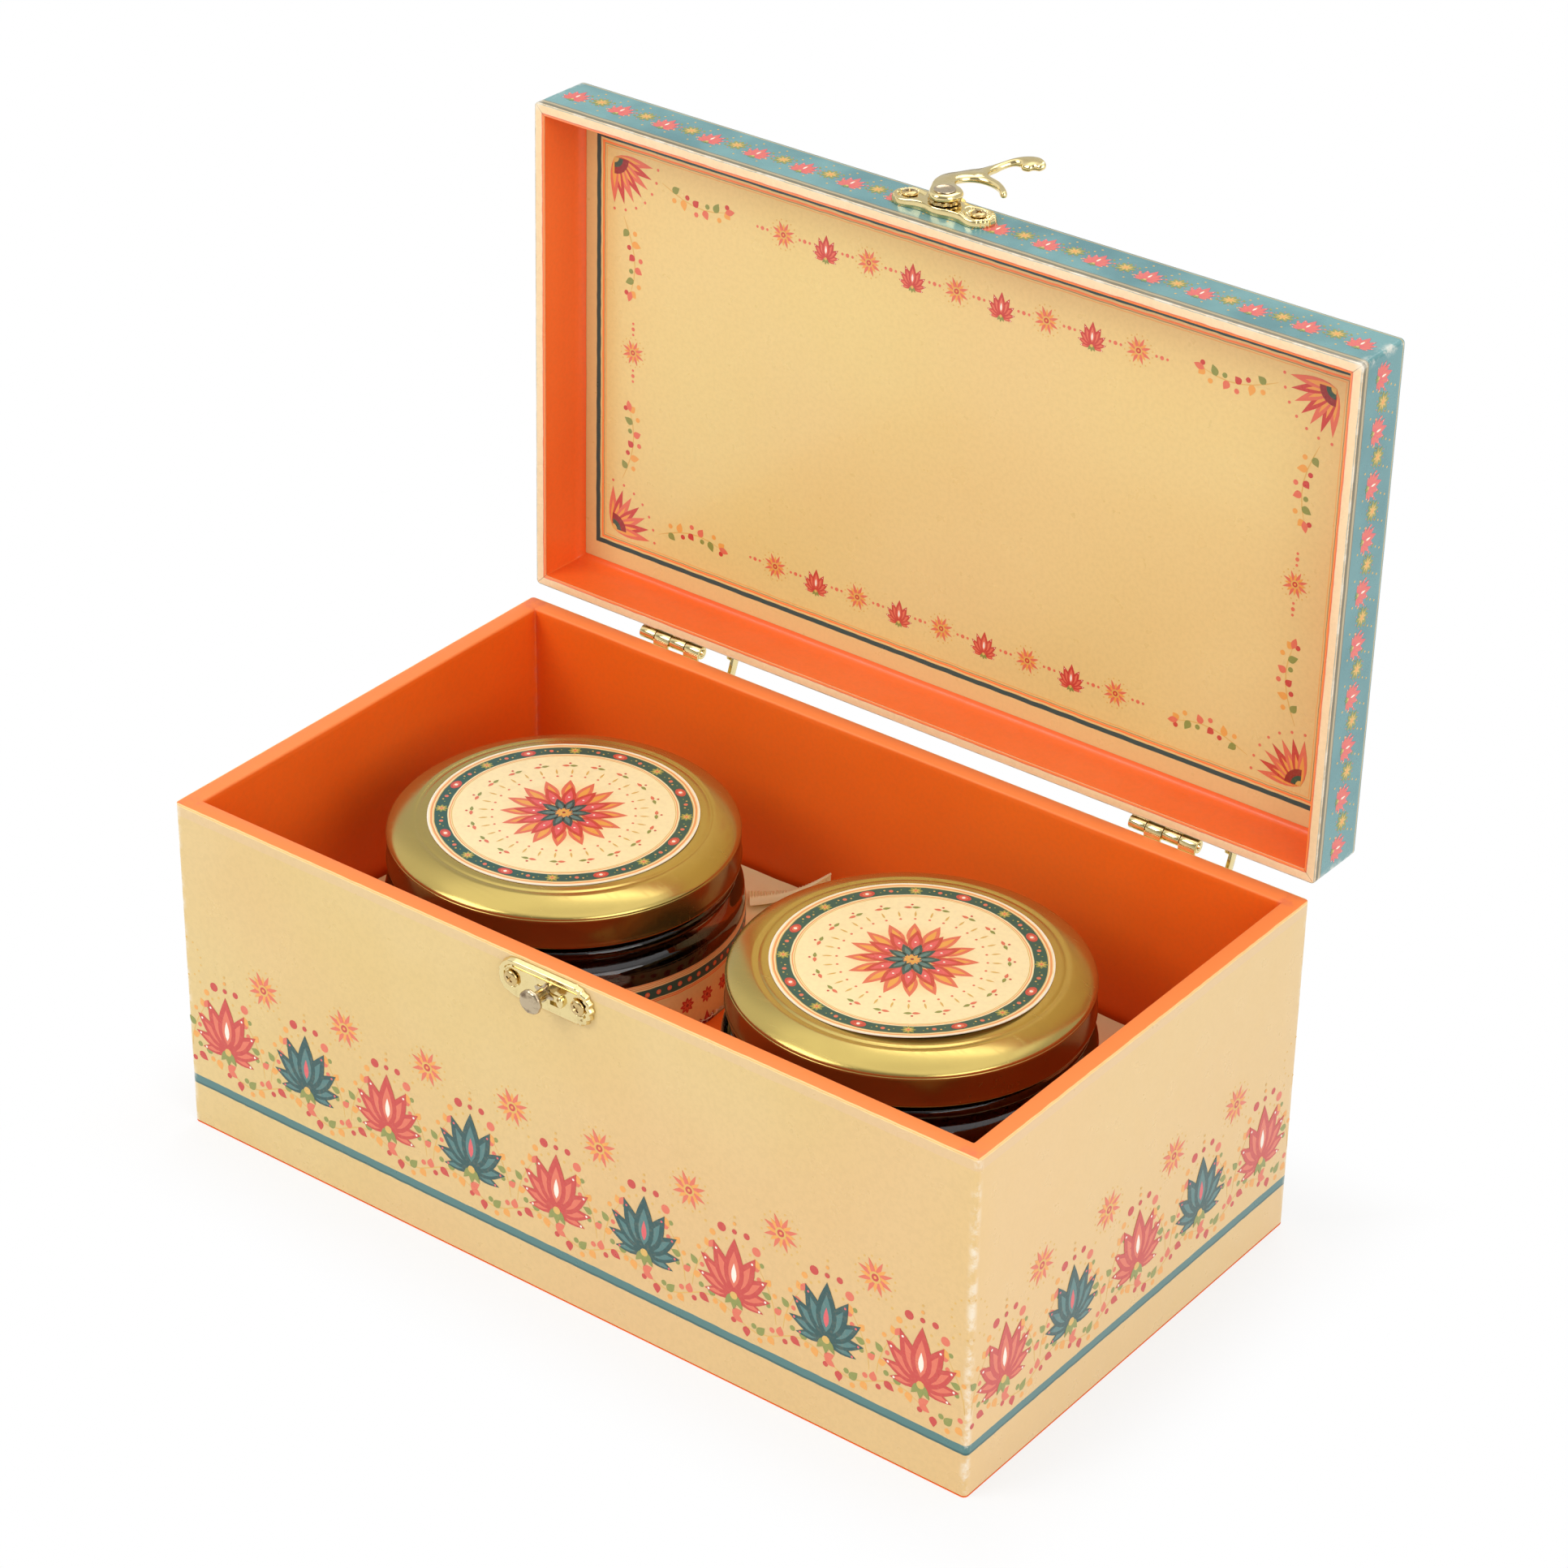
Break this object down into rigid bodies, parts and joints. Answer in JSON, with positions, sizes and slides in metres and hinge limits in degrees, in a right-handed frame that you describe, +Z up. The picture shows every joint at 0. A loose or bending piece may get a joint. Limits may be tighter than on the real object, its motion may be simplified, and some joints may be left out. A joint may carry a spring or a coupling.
{
  "type": "jar gift box",
  "caption": "Paper-covered board box with a hinged lid on stays and a hook latch, holding wide-mouth glass jars with lift-off metal caps in a satin-covered insert.",
  "frame": {"origin": "middle of the underside, where the box stands", "axes": "+Z up, +X along the box's length to the right as seen from the front, -Y towards the latch side; the stored pose has the lid standing open at 91 degrees"},
  "size_m": [0.235, 0.1788, 0.2342],
  "materials": {
    "board": "raw fibreboard",
    "print": "gloss laminated print",
    "teal_print": "gloss laminated print",
    "orange_paper": "semi-gloss",
    "insert_card": "semi-gloss",
    "card_print": "semi-gloss print",
    "satin": "satin",
    "brass": "polished",
    "worn_brass": "worn",
    "glass": "clear",
    "preserve": "glossy",
    "gold_tin": "gold lacquer",
    "seal": "matt",
    "label": "matt print"
  },
  "bodies": {
    "box": {"front_board": "board", "back_board": "board", "left_board": "board", "right_board": "board", "base_board": "board", "outer_wrap": "print", "inner_lining": "orange_paper", "floor_lining": "orange_paper", "base_paper": "orange_paper", "insert_card": "insert_card", "satin_cover": "satin", "satin_ruffle": "satin", "hinge_left_box_leaf": "brass", "hinge_left_pin": "brass", "hinge_left_box_screw_1": "brass", "hinge_left_box_screw_2": "brass", "hinge_right_box_leaf": "brass", "hinge_right_pin": "brass", "hinge_right_box_screw_1": "brass", "hinge_right_box_screw_2": "brass", "catch_plate": "brass", "catch_stud": "worn_brass", "catch_screw_1": "brass", "catch_screw_2": "brass"},
    "lid": {"lid_top_board": "board", "lid_front_rail": "board", "lid_back_rail": "board", "lid_left_rail": "board", "lid_right_rail": "board", "lid_wrap": "teal_print", "lid_lining": "orange_paper", "lid_card": "card_print", "hinge_left_lid_leaf": "brass", "hinge_left_lid_screw_1": "brass", "hinge_left_lid_screw_2": "brass", "hinge_right_lid_leaf": "brass", "hinge_right_lid_screw_1": "brass", "hinge_right_lid_screw_2": "brass", "latch_plate": "brass", "latch_rivet": "brass", "latch_washer": "worn_brass", "latch_screw_1": "brass", "latch_screw_2": "brass"},
    "hook": {"latch_hook": "brass"},
    "stay_left": {"hinge_left_stay": "brass"},
    "stay_right": {"hinge_right_stay": "brass"},
    "jar_1": {"jar_1_glass": "glass", "jar_1_contents": "preserve", "jar_1_label": "label"},
    "cap_1": {"jar_1_cap": "gold_tin", "jar_1_gasket": "seal", "jar_1_cap_label": "label"},
    "jar_2": {"jar_2_glass": "glass", "jar_2_contents": "preserve", "jar_2_label": "label"},
    "cap_2": {"jar_2_cap": "gold_tin", "jar_2_gasket": "seal", "jar_2_cap_label": "label"}
  },
  "joints": [
    {"name": "lid_hinge", "type": "hinge", "parent": "box", "child": "lid", "pos_m": [0, 0.0682, 0.0931], "axis": [1, 0, 0], "range_deg": [0, 91]},
    {"name": "hook_swing", "type": "hinge", "parent": "lid", "child": "hook", "pos_m": [-0.0017, 0.07964, 0.22712], "axis": [0, -0.0175, -0.9998], "range_deg": [-60, 167]},
    {"name": "stay_left_pivot", "type": "hinge", "parent": "lid", "child": "stay_left", "pos_m": [-0.073, 0.07419, 0.09219], "axis": [1, 0, 0], "range_deg": [-69.3, 0]},
    {"name": "stay_right_pivot", "type": "hinge", "parent": "lid", "child": "stay_right", "pos_m": [0.076, 0.07419, 0.09219], "axis": [1, 0, 0], "range_deg": [-69.3, 0]},
    {"name": "jar_1_lift", "type": "slide", "parent": "box", "child": "jar_1", "axis": [0, 0, -1], "range_m": [-0.12, 0]},
    {"name": "cap_1_lift", "type": "slide", "parent": "jar_1", "child": "cap_1", "axis": [0, 0, -1], "range_m": [-0.04, 0]},
    {"name": "jar_2_lift", "type": "slide", "parent": "box", "child": "jar_2", "axis": [0, 0, -1], "range_m": [-0.12, 0]},
    {"name": "cap_2_lift", "type": "slide", "parent": "jar_2", "child": "cap_2", "axis": [0, 0, -1], "range_m": [-0.04, 0]}
  ],
  "couplings": [
    {"joint": "stay_left_pivot", "follows": "lid_hinge", "ratio": -0.76044},
    {"joint": "stay_right_pivot", "follows": "lid_hinge", "ratio": -0.76044}
  ]
}
